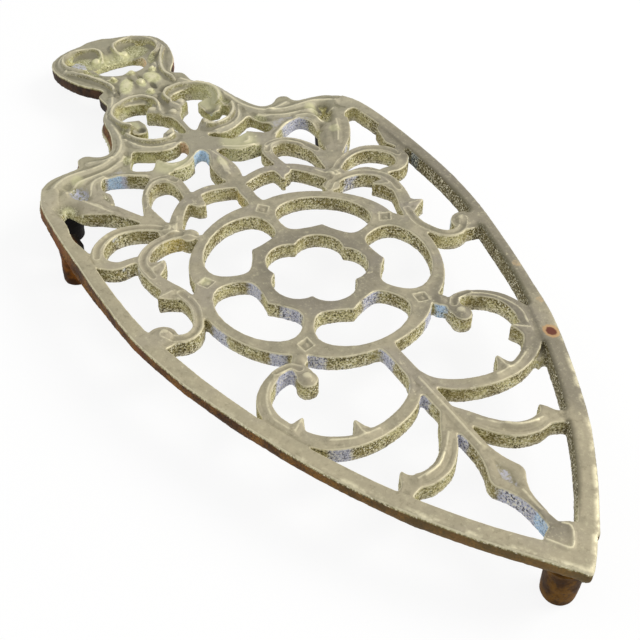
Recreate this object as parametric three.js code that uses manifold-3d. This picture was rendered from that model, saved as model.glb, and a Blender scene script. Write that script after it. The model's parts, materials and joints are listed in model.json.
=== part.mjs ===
// Brass flat-iron trivet: one openwork casting with a drooping handle, standing on turned peg legs.
// Millimetres, +Z up. The tip points along +X, the handle along -X, and the feet stand on z = 0.

import * as THREE from 'three';
import * as BufferGeometryUtils from 'three/addons/utils/BufferGeometryUtils.js';
import Module from 'manifold-3d';

const wasm = await Module();
wasm.setup();

// Overall sizes
const overallLength = 255; // from the end of the handle to the tip
const overallWidth = 105.6; // across the rim behind the rosette
const standingHeight = 17; // from the table to the top of the rim

// The casting
const castingThickness = 5;
const rimWidth = 4.2;
const scrollWidth = 3.4;
const axisBarWidth = 3.6;
const scrollStep = 0.4; // how far the scrolls lie below the rim
const beadHeight = 0.6; // how far beads, volutes and the eyes of the scrolls stand up
const handleDrop = 0.113; // fall of the handle for each millimetre past the bend
const handleLean = 0.014; // how far it leans to the left, for each millimetre past the bend
const bendLine = -81; // where the neck bends down

// The rosette, in real radii
const rosetteRadius = 32.6;
const rosetteDip = 1.7; // how far its edge draws in between two petals
const lozengeRadius = 28; // circle on which the five lozenges sit
const lozengeSize = 1.7;
const lozengeHeight = 0.7;
const hubHoleRadius = 13.3;
const hubCuspDepth = 2.7;
const petals = 5;

// The legs and their seats
const legTopRadius = 4.7;
const legFootRadius = 3.9;
const footRounding = 0.6;
const tenonRadius = 2.2;
const seatClearance = 0.3;
const blindTenonLength = 3;
const rivetProud = 0.3; // the tip leg's tenon stands through the casting, a little above the rim
const tipBossRadius = 5.4;
const tipLegX = 97.2;
const heelLegX = -63.6;
const heelLegY = 42.8;
const sideLegRadius = 3.7; // the extra leg under the near side of the rim is a straight peg
const sideLegX = -45.8;
const sideLegY = -48.1;

// The pattern below is drawn round the middle of the rosette, and stretches with the real length and width.
const drawnHandle = 149.8; // from the middle of the rosette back to the end of the handle
const drawnTip = 102.4; // and forward to the middle of the rounded tip
const drawnRim = 50.8; // and sideways to the middle of the rim
const noseRadius = 2.8;
const stretchX = (overallLength - noseRadius) / (drawnHandle + drawnTip);
const stretchY = (overallWidth - rimWidth) / (2 * drawnRim);
const rosetteAhead = drawnHandle * stretchX - overallLength / 2; // from the middle of the length to the rosette

const rimTop = standingHeight;
const scrollTop = rimTop - scrollStep;
const underside = rimTop - castingThickness;

// Solids

function toSolid(geometry) {
  const plain = geometry.clone();
  plain.deleteAttribute('normal');
  plain.deleteAttribute('uv');
  const merged = BufferGeometryUtils.mergeVertices(plain, 1e-4);
  return new wasm.Manifold(new wasm.Mesh({
    numProp: 3,
    vertProperties: new Float32Array(merged.attributes.position.array),
    triVerts: new Uint32Array(merged.index.array),
  }));
}

function toGeometry(solid) {
  const mesh = solid.getMesh();
  const geometry = new THREE.BufferGeometry();
  geometry.setAttribute('position', new THREE.BufferAttribute(new Float32Array(mesh.vertProperties), 3));
  geometry.setIndex(new THREE.BufferAttribute(new Uint32Array(mesh.triVerts), 1));
  return geometry;
}

function prism(outline, bottom, top) {
  const geometry = new THREE.ExtrudeGeometry(new THREE.Shape(outline), {
    depth: top - bottom,
    bevelEnabled: false,
    curveSegments: 1,
  });
  geometry.translate(0, 0, bottom);
  return toSolid(geometry);
}

function disc(x, y, radius, bottom, top, sides = 28) {
  const geometry = new THREE.CylinderGeometry(radius, radius, top - bottom, sides);
  geometry.rotateX(Math.PI / 2);
  geometry.translate(x * stretchX, y * stretchY, (top + bottom) / 2);
  return toSolid(geometry);
}

function joined(solids) {
  return solids.reduce((sum, solid) => sum.add(solid));
}

function mirrored(points) {
  return points.map(([x, y, ...rest]) => [x, -y, ...rest]);
}

// Outlines

function smooth(points, closed, steps) {
  const corners = points.map(([x, y]) => new THREE.Vector3(x * stretchX, y * stretchY, 0));
  const curve = new THREE.CatmullRomCurve3(corners, closed, 'catmullrom', 0.5);
  const samples = curve.getPoints((closed ? points.length : points.length - 1) * steps);
  return (closed ? samples.slice(0, -1) : samples).map((p) => new THREE.Vector2(p.x, p.y));
}

// A scroll is a line of [x, y, swell], where a swell of 1 is the full width of its kind.
function scrollOutline(points, width, steps) {
  const line = points.map(([x, y, swell]) => new THREE.Vector3(x * stretchX, y * stretchY, swell * width));
  const samples = new THREE.CatmullRomCurve3(line, false, 'catmullrom', 0.5).getPoints((points.length - 1) * steps);
  const left = [];
  const right = [];
  samples.forEach((here, i) => {
    const before = samples[Math.max(i - 1, 0)];
    const after = samples[Math.min(i + 1, samples.length - 1)];
    const along = new THREE.Vector2(after.x - before.x, after.y - before.y).normalize();
    const half = here.z / 2;
    left.push(new THREE.Vector2(here.x - along.y * half, here.y + along.x * half));
    right.unshift(new THREE.Vector2(here.x + along.y * half, here.y - along.x * half));
  });
  return [...left, ...right];
}

// The rim, from the heel corner along the side to the tip.
const rimLine = [
  [-64.4, 46.6, 1.3], [-56, 49.3, 1], [-44.8, 50.5, 0.95], [-28, drawnRim, 1], [-14, 50.4, 0.96],
  [0, 48.9, 0.97], [14, 45.9, 1.02], [28, 42.4, 1], [42, 38.1, 1], [56, 31.8, 1.02], [70, 24.3, 1],
  [84, 15, 1], [93.8, 7.3, 1.07], [101.4, 0.9, 1.2],
];

// The scrolls of one side, each as it was cut in the pattern.
const scrolls = [
  // great C-scroll, from the stem round to its eye beside the rosette
  [[42, 0.6, 0.5], [47, 2.2, 0.8], [50.7, 6.4, 1], [52.8, 11.8, 1], [53.6, 17.4, 1], [53.1, 22.4, 1.03],
    [51.2, 26.9, 1.15], [48.2, 30.5, 1.23], [43.4, 33.3, 1.23], [38.1, 34.7, 1.15], [33, 33.6, 1],
    [29.4, 30.5, 0.9], [27.3, 26.6, 0.83], [27.2, 23.2, 0.83], [29.4, 21.6, 1.15], [32.4, 21.8, 1.3]],
  // leaf scroll, from the stem to the rim
  [[54.6, 0, 0.5], [59.4, 2.5, 1], [64.4, 5.6, 1.15], [68, 9.5, 1.23], [69.3, 14, 1.23],
    [68.9, 17.6, 1.15], [70.6, 21.5, 1]],
  // S-scroll over the rosette, from its eye on the rim down to the side petal
  [[1.1, 43.3, 1], [3.4, 43.7, 1], [5.6, 41.7, 0.9], [6.3, 38.6, 0.9], [4.8, 35.8, 0.83], [1.4, 33.9, 0.83],
    [-2.8, 32.8, 0.9], [-8.4, 33.6, 1], [-12.6, 35.6, 1.15], [-17.4, 37, 1.06], [-22.4, 37.2, 1],
    [-26, 35.6, 1], [-28.8, 31.9, 0.9], [-29.7, 27.4, 0.83], [-28.8, 23, 0.83], [-26.9, 20.2, 0.7]],
  // heel C-scroll, up from the knot to the rim and over to the S-scroll
  [[-32.8, 26, 0.83], [-35.8, 29.4, 0.83], [-37.8, 33.6, 0.83], [-38.4, 37.8, 0.83], [-37.2, 41.4, 0.9],
    [-34.7, 44.5, 1], [-31.4, 46.1, 1.06], [-28, 45.4, 1.06], [-26, 42.8, 0.9], [-26, 40, 0.75], [-26, 37.5, 0.65]],
  // stalk that carries the corner bud
  [[-33, 25.8, 1], [-37.8, 28.8, 1.06], [-42, 31.9, 1.4], [-46.8, 35.6, 2], [-51.8, 38.6, 2.25], [-57.4, 41.4, 2.1]],
  // inner scroll, from the axis bar to the knot
  [[-41.2, 0, 0.83], [-42.8, 4.2, 0.83], [-43.7, 8.4, 0.83], [-43.1, 12.6, 0.83], [-41.2, 16.8, 0.9],
    [-37.8, 20.2, 1], [-33.6, 23, 1.15], [-30.2, 24.6, 1.15]],
  // curled leaf behind the inner scroll
  [[-32.2, 26, 1.15], [-37.8, 26.6, 1.06], [-44.8, 27, 1], [-50.4, 24.6, 1.06], [-53.8, 21, 1.06],
    [-54, 16.8, 1.15], [-51.5, 14.6, 1], [-47.6, 14.3, 0.83], [-43.4, 14.6, 0.83]],
];

// Spurs and leaf points: short scrolls that run out to a point.
const spurs = [
  [[53.2, 19.6, 7.3], [50.4, 19.5, 2.8], [48.3, 19.5, 0.5]],
  [[45.4, 33, 7.3], [43.4, 30.8, 3.4], [42.1, 28.8, 0.5]],
  [[68.6, 18.5, 5.6], [66.4, 18.8, 2.2], [65, 18.5, 0.5]],
  [[-10.1, 35, 7.8], [-9.7, 37.5, 3.6], [-9.1, 39.6, 0.5]],
  [[-20.2, 35.8, 6.2], [-20.7, 33.6, 3.9], [-21.3, 31.9, 0.8]],
  [[-42, 14, 5.6], [-38.1, 13.2, 2.8], [-35.3, 12.6, 0.8]],
];

// Eyes of the scrolls and the knots where several scrolls meet: [x, y, radius].
const eyes = [[3.4, 44.4, 3.9], [-32.2, 25.2, 3.4], [-28, 21.8, 2.5], [32.4, 21.8, 2.5], [26, 20.2, 2]];

// Bar on the axis: in front it ends in a lozenge bud, behind in a leaf. [x, y, swell]
const frontBar = [
  [30.2, 0, 1.55], [33.6, 0, 1], [42, 0, 1], [53.2, 0, 1], [64.4, 0, 0.95], [69.4, 0, 1], [73.4, 0, 1.55],
  [77.3, 0, 2.4], [80.6, 0, 1.4], [84, 0, 0.78], [89.6, 0, 0.61], [95.2, 0, 0.95],
];
const rearBar = [
  [-29.4, 0, 1.55], [-33.6, 0, 1], [-37.8, 0, 1.08], [-41.4, 0, 0.78], [-44.8, 0, 1.55], [-49, 0, 2],
  [-53.2, 0, 1.72], [-57.4, 0, 1.25], [-64.4, 0, 1.08],
];

// Heel, neck and handle: the outer edge of one side, from the rim back to the end of the handle,
// and the inner edge from the axis bar forward to the rim again.
const heelEdge = [
  [-56, 50.9], [-63, 49.6], [-66.8, 47.6], [-69.3, 44.5], [-70.4, 39.8], [-71.1, 35.3], [-74.5, 34.2],
  [-75.3, 31.4], [-73.1, 28.3], [-73.2, 25.3], [-75.9, 23.1], [-81.2, 21.2], [-85.4, 20.4], [-91, 19.6],
  [-95.2, 17.9], [-98.6, 15.5], [-101.4, 14.6], [-105, 14.7], [-108.1, 14.4], [-110, 12.2], [-112.6, 12.4],
  [-119, 16.3], [-126, 18.6], [-133, 19.8], [-139, 19.1], [-142.8, 16.8], [-145.9, 12.6], [-147.3, 8.8],
  [-148, 5.8], [-149.5, 3], [-drawnHandle, 0],
];
const heelInside = [
  [-57.4, 0], [-59.4, 3], [-56.2, 7.6], [-55.4, 12], [-56, 17], [-56.6, 21], [-55.5, 27], [-54.6, 36],
  [-55.2, 42], [-56, 44.8], [-54.2, 47.2],
];

// Openings through the heel and the neck of one side, and the hanging slot across the handle.
const openings = [
  [[-55.4, 20.4], [-57.4, 21.4], [-59.8, 24.8], [-61.4, 28], [-62.2, 30.6], [-61.2, 32.4], [-58.6, 33.4],
    [-55, 33.4], [-52, 32.6], [-49.6, 31], [-46.4, 29.4], [-42, 28.4], [-46, 27.2], [-50.6, 25.4], [-53.6, 23]],
  [[-68.6, 4.2], [-65.6, 3.9], [-62.8, 4.8], [-60.8, 6.6], [-59.8, 9], [-60.3, 11.6], [-61.8, 13.2], [-63.8, 14.4],
    [-62.2, 15.8], [-59.5, 17.9], [-60.6, 20.6], [-62.4, 22.8], [-66.4, 21.3], [-70.4, 19.2], [-69.4, 16.6],
    [-67.8, 13.8], [-66.7, 11], [-66.5, 8], [-67.4, 5.8]],
  [[-96.3, 9], [-95.3, 12.3], [-92.5, 14.8], [-88.8, 15.2], [-85.6, 14], [-83, 12.6], [-81.5, 13], [-81, 14.8],
    [-79, 16], [-76.3, 15.3], [-73.8, 13.3], [-72.6, 10.5], [-73, 8.3], [-74.6, 7.4], [-75.2, 5.6], [-73.6, 3.6],
    [-71.8, 1.8], [-73.4, 0.9], [-77, 0.9], [-80.5, 1.2], [-83.4, 2.8], [-86.4, 4.8], [-87.4, 6.6], [-89, 6.6],
    [-90.6, 4.4], [-93.4, 3.6], [-95.4, 5.4]],
];
const hangingSlot = [
  [-118, 0], [-118.2, 3.5], [-120.5, 6.8], [-124, 8.4], [-128.4, 8.4], [-131, 6.4], [-131.6, 3], [-131.8, 0],
  [-131.6, -3], [-131, -6.4], [-128.4, -8.4], [-124, -8.4], [-120.5, -6.8], [-118.2, -3.5],
];

// Relief on the handle and the neck of one side, and on the axis: beads as [x, y, radius],
// and the raised lines of the volutes as [x, y, width].
const sideBeads = [[-88.4, 4.7, 1.3], [-73.2, 5.8, 1.3], [-134.9, 5.2, 1.4], [-114.8, 6.5, 1.1]];
const axisBeads = [[-83.5, 0, 1.4], [-97, 0, 0.9], [-100.5, 0, 1.2], [-108.5, 0, 1.5], [-116, 0, 1.2]];
const volutes = [
  [[-89.6, 2, 0.8], [-94, 1.9, 1], [-97.6, 4.2, 1.1], [-98.4, 8.6, 1.1], [-96.2, 13.4, 1.1], [-92, 16.5, 1.1],
    [-88, 17, 1.1], [-84.2, 16, 1], [-81.6, 14.4, 0.7]],
  [[-78.6, 17.6, 0.7], [-74.4, 15.9, 1], [-71.2, 12.4, 1.1], [-70.2, 8.4, 1.1], [-71.2, 5.4, 0.8]],
  [[-134.6, 3.3, 0.8], [-138, 2.3, 1], [-141.4, 4.2, 1.1], [-142.6, 8.6, 1.1], [-140.6, 13.2, 1.1],
    [-136, 15.8, 1.1], [-131, 15.9, 1.1], [-127.2, 13.8, 1], [-126.2, 11.4, 0.7]],
  [[-129, 17.2, 0.7], [-123.4, 13.6, 1], [-117, 10.6, 1], [-110, 9.2, 1], [-104, 9.8, 0.7]],
];

// The rosette: a scalloped disc with five petal openings and a five-lobed hole in the hub.
function rosette() {
  const turn = (2 * Math.PI) / petals;
  const polar = (radius, angle) => new THREE.Vector2(
    radius * Math.cos(angle) * stretchX,
    radius * Math.sin(angle) * stretchY,
  );
  const around = (count, radiusAt) => {
    const outline = [];
    for (let i = 0; i < petals * count; i += 1) {
      const angle = (i / count) * turn;
      const fromMiddle = Math.abs(((i % count) / count) - 0.5) * 2; // 1 on a petal's axis, 0 between two petals
      outline.push(polar(radiusAt(1 - fromMiddle), angle));
    }
    return outline;
  };
  const scalloped = around(16, (off) => rosetteRadius - rosetteDip * off ** 4);
  const hubHole = around(10, (off) => hubHoleRadius - hubCuspDepth * off ** 2.2);
  let body = prism(scalloped, underside, scrollTop).subtract(prism(hubHole, underside - 1, rimTop + 1));

  // Half of a petal opening as [radius, degrees off the petal's axis], from the ogee point outwards.
  const halfPetal = [
    [18, 0], [16.9, 8], [16.5, 17], [16.8, 26], [18.5, 31], [22.4, 32], [25.8, 29.5], [28, 23], [29.4, 12], [29.7, 0],
  ];
  const wholePetal = [...halfPetal, ...halfPetal.slice(1, -1).reverse().map(([radius, off]) => [radius, -off])];
  for (let petal = 0; petal < petals; petal += 1) {
    const line = [...wholePetal, wholePetal[0]].map(([radius, off]) => {
      const spot = polar(radius, petal * turn + THREE.MathUtils.degToRad(off));
      return new THREE.Vector3(spot.x, spot.y, 0);
    });
    const curve = new THREE.CatmullRomCurve3(line, false, 'catmullrom', 0.5);
    const outline = curve.getPoints((line.length - 1) * 2).slice(0, -1).map((p) => new THREE.Vector2(p.x, p.y));
    body = body.subtract(prism(outline, underside - 1, rimTop + 1));
  }
  for (let petal = 0; petal < petals; petal += 1) {
    const geometry = new THREE.ConeGeometry(lozengeSize, lozengeHeight + 0.5, 4);
    geometry.rotateX(Math.PI / 2);
    geometry.scale(1.25, 1, 1);
    const angle = (petal + 0.5) * turn;
    const spot = polar(lozengeRadius, angle);
    geometry.rotateZ(angle);
    geometry.translate(spot.x, spot.y, scrollTop + lozengeHeight / 2 - 0.25);
    body = body.add(toSolid(geometry));
  }
  return body;
}

// A bead or the eye of a scroll: a low dome sunk into the face it stands on.
function dome(x, y, radius, face) {
  const sink = 0.4;
  const steps = 3;
  const profile = [new THREE.Vector2(0, -sink), new THREE.Vector2(radius, -sink)];
  for (let i = 0; i <= steps; i += 1) {
    const angle = (i / steps) * (Math.PI / 2);
    profile.push(new THREE.Vector2(i === steps ? 0 : radius * Math.cos(angle), beadHeight * Math.sin(angle)));
  }
  const geometry = new THREE.LatheGeometry(profile, 12);
  geometry.rotateX(Math.PI / 2);
  geometry.translate(x * stretchX, y * stretchY, face);
  return toSolid(geometry);
}

// Rim, scrolls, spurs and eyes of one side of the trivet.
function side(points) {
  const solids = [prism(scrollOutline(points(rimLine), rimWidth, 3), underside, rimTop)];
  for (const line of scrolls) {
    solids.push(prism(scrollOutline(points(line), scrollWidth, 3), underside, scrollTop));
  }
  for (const line of spurs) {
    solids.push(prism(scrollOutline(points(line), 1, 3), underside, scrollTop));
  }
  for (const [x, y, radius] of points(eyes)) {
    solids.push(disc(x, y, radius, underside, scrollTop));
    solids.push(dome(x, y, radius * 0.7, scrollTop));
  }
  return joined(solids);
}

// The solid web of heel, neck and handle with its openings, beads and volutes.
function heelAndHandle() {
  const outline = [
    ...smooth([...heelEdge, ...mirrored(heelEdge).reverse().slice(1)], false, 3),
    ...smooth([...mirrored(heelInside).reverse(), ...heelInside.slice(1)], false, 3),
  ];
  const solids = [prism(outline, underside, scrollTop)];
  for (const [x, y, radius] of [...axisBeads, ...sideBeads, ...mirrored(sideBeads)]) {
    solids.push(dome(x, y, radius, scrollTop));
  }
  for (const line of [...volutes, ...volutes.map(mirrored)]) {
    solids.push(prism(scrollOutline(line, 1, 2), underside + 1, scrollTop + beadHeight));
  }
  const holes = [hangingSlot, ...openings, ...openings.map(mirrored)];
  const cutters = holes.map((hole) => prism(smooth(hole, true, 2), underside - 1, rimTop + 1));
  return joined(solids).subtract(joined(cutters));
}

// The part behind the bend line slopes down, so that the handle clears the table but stays below the iron.
// It also leans a little to the left, as on a casting that was straightened by eye.
function bentDown(solid) {
  const bendX = bendLine * stretchX;
  const block = new THREE.BoxGeometry(overallLength, 2 * overallWidth, 4 * standingHeight);
  const front = toSolid(block.clone().translate(bendX + overallLength / 2, 0, 0));
  const rear = toSolid(block.clone().translate(bendX - overallLength / 2, 0, 0));
  const sloped = toGeometry(solid.intersect(rear));
  const position = sloped.attributes.position;
  for (let i = 0; i < position.count; i += 1) {
    const past = bendX - position.getX(i);
    position.setY(i, position.getY(i) + past * handleLean);
    position.setZ(i, position.getZ(i) - past * handleDrop);
  }
  return solid.intersect(front).add(toSolid(sloped));
}

function plate() {
  const casting = joined([
    bentDown(heelAndHandle()),
    side((points) => points),
    side(mirrored),
    rosette(),
    prism(scrollOutline(frontBar, axisBarWidth, 3), underside, scrollTop),
    prism(scrollOutline(rearBar, axisBarWidth, 3), underside, scrollTop),
    disc(drawnTip, 0, noseRadius, underside, rimTop),
    disc(tipLegX, 0, tipBossRadius, underside, rimTop),
  ]);
  const seatRadius = tenonRadius + seatClearance;
  const seats = joined([
    disc(tipLegX, 0, seatRadius, underside - 1, rimTop + 1),
    disc(heelLegX, heelLegY, seatRadius, underside - 1, underside + blindTenonLength + seatClearance),
    disc(heelLegX, -heelLegY, seatRadius, underside - 1, underside + blindTenonLength + seatClearance),
  ]);
  return toGeometry(casting.subtract(seats));
}

// A leg: a turned peg with a rounded foot and a shoulder under the casting. Three legs taper and have a
// tenon above the shoulder; the straight side leg has none and is brazed to the underside of the rim.
function leg(shoulderRadius, footRadius, tenonTop) {
  const profile = [
    new THREE.Vector2(0, 0),
    new THREE.Vector2(footRadius - footRounding, 0),
    new THREE.Vector2(footRadius - footRounding * 0.3, footRounding * 0.3),
    new THREE.Vector2(footRadius, footRounding),
    new THREE.Vector2(shoulderRadius, underside),
  ];
  if (tenonTop > underside) {
    profile.push(new THREE.Vector2(tenonRadius, underside), new THREE.Vector2(tenonRadius, tenonTop));
  }
  profile.push(new THREE.Vector2(0, tenonTop));
  const geometry = new THREE.LatheGeometry(profile, 24);
  geometry.rotateX(Math.PI / 2);
  return toGeometry(toSolid(geometry));
}

const agedBrass = { metalness: 0.85, roughness: 0.55 };

const trivet = new THREE.Group();
trivet.position.x = rosetteAhead * stretchX;

function place(name, geometry, color, x = 0, y = 0) {
  const mesh = new THREE.Mesh(geometry, new THREE.MeshStandardMaterial({ color, ...agedBrass }));
  mesh.name = name;
  mesh.position.set(x * stretchX, y * stretchY, 0);
  trivet.add(mesh);
}

const blindTenonTop = underside + blindTenonLength;
place('plate', plate(), 0xa59c80);
place('tip_leg', leg(legTopRadius, legFootRadius, rimTop + rivetProud), 0x5c4424, tipLegX);
place('heel_leg_left', leg(legTopRadius, legFootRadius, blindTenonTop), 0x4a371f, heelLegX, heelLegY);
place('heel_leg_right', leg(legTopRadius, legFootRadius, blindTenonTop), 0x4a371f, heelLegX, -heelLegY);
place('side_leg', leg(sideLegRadius, sideLegRadius, underside), 0x6b4a22, sideLegX, sideLegY);

export default trivet;
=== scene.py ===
"""A brass flat-iron trivet: one openwork casting on four peg legs, aged and worn."""

import json
import math

import bmesh
import bpy
import numpy as np
from mathutils import Matrix, Vector, noise
from mathutils.bvhtree import BVHTree
from mathutils.kdtree import KDTree


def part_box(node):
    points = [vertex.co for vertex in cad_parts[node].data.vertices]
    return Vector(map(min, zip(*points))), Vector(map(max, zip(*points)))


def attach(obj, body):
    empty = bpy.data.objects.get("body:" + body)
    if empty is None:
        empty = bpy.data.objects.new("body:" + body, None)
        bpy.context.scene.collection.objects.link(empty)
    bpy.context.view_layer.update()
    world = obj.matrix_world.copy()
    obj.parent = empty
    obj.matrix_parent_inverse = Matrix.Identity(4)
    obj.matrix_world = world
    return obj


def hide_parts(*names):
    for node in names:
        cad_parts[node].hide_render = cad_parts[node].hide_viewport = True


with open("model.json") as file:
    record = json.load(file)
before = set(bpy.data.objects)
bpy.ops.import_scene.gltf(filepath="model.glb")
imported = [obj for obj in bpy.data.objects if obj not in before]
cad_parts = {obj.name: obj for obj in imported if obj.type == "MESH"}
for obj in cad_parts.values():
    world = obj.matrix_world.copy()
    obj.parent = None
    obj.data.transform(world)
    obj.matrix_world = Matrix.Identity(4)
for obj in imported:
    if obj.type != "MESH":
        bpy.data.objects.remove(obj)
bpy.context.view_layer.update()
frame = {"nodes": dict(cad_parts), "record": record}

# Camera
# A normal lens held over the near side of the handle end, looking down across the trivet,
# so that the tip points to the lower right of the square picture.
camera_place = (0.19902, -0.10829, 0.19297)
looks_along = Vector((-0.61937, 0.38425, -0.68464))
picture_right = Vector((0.51824, 0.85516, 0.01113))
picture_up = Vector((-0.58976, 0.34791, 0.72879))
camera_data = bpy.data.cameras.new("camera")
camera_data.lens = 60.56
camera_data.sensor_width = 36
camera_data.clip_start = 0.01
camera_data.clip_end = 10
camera = bpy.data.objects.new("camera", camera_data)
camera.matrix_world = Matrix.Translation(camera_place) @ Matrix((
    picture_right, picture_up, -looks_along)).transposed().to_4x4()
bpy.context.scene.collection.objects.link(camera)
bpy.context.scene.camera = camera
bpy.context.scene.view_settings.view_transform = "Standard"


# Table top and lamps
# A seamless white table top under a large soft lamp from the far side and a weaker one opposite.
# Seen by the camera the floor is nearly white, and it keeps a faint shadow.

class Mix:
    """A value in a material's nodes that can be added, subtracted and multiplied like a number."""

    def __init__(self, material, socket=None):
        self.material = material
        self.socket = socket

    def node(self, kind, settings, values, output=0):
        made = self.material.node_tree.nodes.new(kind)
        for name, setting in settings.items():
            if name == "stops":
                ramp = made.color_ramp
                while len(ramp.elements) < len(setting):
                    ramp.elements.new(0.5)
                for element, (place, colour) in zip(ramp.elements, setting):
                    element.position = place
                    element.color = colour
            else:
                setattr(made, name, setting)
        for name, value in values.items():
            if isinstance(value, Mix):
                self.material.node_tree.links.new(value.socket, made.inputs[name])
            else:
                made.inputs[name].default_value = value
        return Mix(self.material, made.outputs[output])

    def maths(self, operation, first, second):
        return self.node("ShaderNodeMath", {"operation": operation}, {0: first, 1: second})

    def __add__(self, other):
        return self.maths("ADD", self, other)

    __radd__ = __add__

    def __mul__(self, other):
        return self.maths("MULTIPLY", self, other)

    __rmul__ = __mul__

    def __sub__(self, other):
        return self.maths("SUBTRACT", self, other)

    def __rsub__(self, other):
        return self.maths("SUBTRACT", other, self)

    def rise(self, low, high):
        """0 below low, 1 above high, and a soft step between them."""
        return self.node("ShaderNodeMapRange", {"interpolation_type": "SMOOTHSTEP"},
                         {"Value": self, "From Min": low, "From Max": high})

    def blend(self, without, covered):
        """The colour without where this mask is 0, and the colour covered where it is 1."""
        return self.node("ShaderNodeMix", {"data_type": "RGBA"}, {0: self, 6: without, 7: covered}, 2)


def paint(red, green, blue):
    """A colour given as it looks on a screen, 0 to 255, as linear light."""
    return (*(((c / 255 + 0.055) / 1.055) ** 2.4 if c > 10 else c / 255 / 12.92
              for c in (red, green, blue)), 1)


def new_material(name):
    material = bpy.data.materials.new(name)
    material.use_nodes = True
    return material, material.node_tree.nodes["Principled BSDF"]


def feed(node, name, value):
    """Links a mixed value to one of the sockets of a shader or another node."""
    value.material.node_tree.links.new(value.socket, node.inputs[name])


floor_reach = 3
key_power = 9.0
fill_power = 2.0
sky_strength = 0.75
shadow_kept = 0.13  # how much of the floor's own shading the camera sees

floor_mesh = bpy.data.meshes.new("floor")
floor_corners = [(x * floor_reach, y * floor_reach, 0) for x, y in ((-1, -1), (1, -1), (1, 1), (-1, 1))]
floor_mesh.from_pydata(floor_corners, [], [(0, 1, 2, 3)])
floor = bpy.data.objects.new("floor", floor_mesh)
bpy.context.scene.collection.objects.link(floor)
floor_material, floor_shader = new_material("white_table")
floor_shader.inputs["Base Color"].default_value = (0.8, 0.8, 0.8, 1)
floor_shader.inputs["Roughness"].default_value = 0.9
floor_mix = Mix(floor_material)
seen = floor_mix.node("ShaderNodeLightPath", {}, {}, "Is Camera Ray")
glossy = floor_mix.node("ShaderNodeLightPath", {}, {}, "Is Glossy Ray")
glow = floor_mix.node("ShaderNodeEmission", {}, {"Color": (1, 1, 1, 1), "Strength": 1.0})
faced = floor_mix.maths("MAXIMUM", seen, glossy) * (1 - shadow_kept)
shaded = Mix(floor_material, floor_shader.outputs[0])
table_top = floor_mix.node("ShaderNodeMixShader", {}, {0: faced, 1: shaded, 2: glow})
feed(floor_material.node_tree.nodes["Material Output"], "Surface", table_top)
floor_mesh.materials.append(floor_material)

world = bpy.data.worlds.new("studio")
world.use_nodes = True
sky = world.node_tree.nodes["Background"]
sky.inputs["Color"].default_value = (1.0, 1.0, 1.0, 1)
sky.inputs["Strength"].default_value = sky_strength
bpy.context.scene.world = world


def soft_lamp(name, place, size, power, colour):
    lamp = bpy.data.lights.new(name, "AREA")
    lamp.size = size
    lamp.energy = power
    lamp.color = colour
    holder = bpy.data.objects.new(name, lamp)
    turned = (-Vector(place)).to_track_quat("-Z", "Y").to_matrix().to_4x4()
    holder.matrix_world = Matrix.Translation(place) @ turned
    bpy.context.scene.collection.objects.link(holder)


soft_lamp("key", place=(0.35, 0.75, 0.75), size=0.5, power=key_power, colour=(1.0, 0.98, 0.94))
soft_lamp("fill", place=(-0.6, -0.6, 0.7), size=0.9, power=fill_power, colour=(0.92, 0.96, 1.0))


# The casting
# Rim, rosette, scrolls, heel, neck and handle were poured in one piece in sand. The top was filed
# and has worn smooth; the walls kept the grain of the sand. Its shape starts from the plain plate.
mm = 0.001
# The pattern is drawn in mm round the rosette's middle, where the first mount stands on the top.
rosette_middle = frame["record"]["mounts"][0]["pos_m"]
drawing_ahead = rosette_middle[0] / mm
rim_top = rosette_middle[2] / mm
rim_above_scrolls = 0.4
scroll_top = rim_top - rim_above_scrolls
casting_thickness = 5.0
underside = rim_top - casting_thickness
# Behind the bend line the handle drops and leans to one side, by this much for each mm.
bend_line = -81.0
handle_drop = 0.113
handle_lean = 0.014
tip_leg_x = 97.2


def as_drawn(places):
    """Millimetres in the pattern's own flat drawing, before the handle was bent."""
    flat = places / mm
    flat[:, 0] -= drawing_ahead
    past = np.clip(bend_line - flat[:, 0], 0, None)
    flat[:, 1] -= past * handle_lean
    flat[:, 2] += past * handle_drop
    return flat


def as_cast(flat):
    """Metres on the finished casting."""
    places = flat.copy()
    past = np.clip(bend_line - places[:, 0], 0, None)
    places[:, 1] += past * handle_lean
    places[:, 2] -= past * handle_drop
    places[:, 0] += drawing_ahead
    return places * mm


def curve(corners, step=0.25):
    """Points at even small steps on a smooth line through corners."""
    corners = np.array(corners, float)
    padded = np.vstack([2 * corners[0] - corners[1], corners, 2 * corners[-1] - corners[-2]])
    points = []
    for before, start, end, after in zip(padded, padded[1:], padded[2:], padded[3:]):
        count = max(2, int(np.linalg.norm((end - start)[:2]) / step))
        for t in np.arange(count) / count:
            second = (2 * before - 5 * start + 4 * end - after) * t * t
            third = (3 * start - before - 3 * end + after) * t ** 3
            points.append(0.5 * (2 * start + (end - before) * t + second + third))
    return np.array(points + [corners[-1]])


spots_at_once = 4000


def distance_to(line, spots, reach):
    """How far each spot lies from a line, up to reach."""
    far = np.full(len(spots), float(reach))
    low = line[:, :2].min(0) - reach
    high = line[:, :2].max(0) + reach
    near = np.flatnonzero(((spots[:, :2] > low) & (spots[:, :2] < high)).all(1))
    for part in np.array_split(near, len(near) // spots_at_once + 1):
        gaps = spots[part, None, :2] - line[None, :, :2]
        far[part] = np.minimum(far[part], np.sqrt((gaps ** 2).sum(2)).min(1))
    return far


def bell(x):
    """1 at 0, falling softly to both sides."""
    return np.exp(-x * x)


def soft_step(x, low, high):
    """0 at low, 1 at high, and a soft step between them, also where high is the smaller."""
    t = np.clip((x - low) / (high - low), 0, 1)
    return t * t * (3 - 2 * t)


def both_sides(lines):
    """The lines as they are, and mirrored to the other side."""
    return [np.array(line, float) for line in lines] + [np.array(line, float) * [1, -1] for line in lines]


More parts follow.
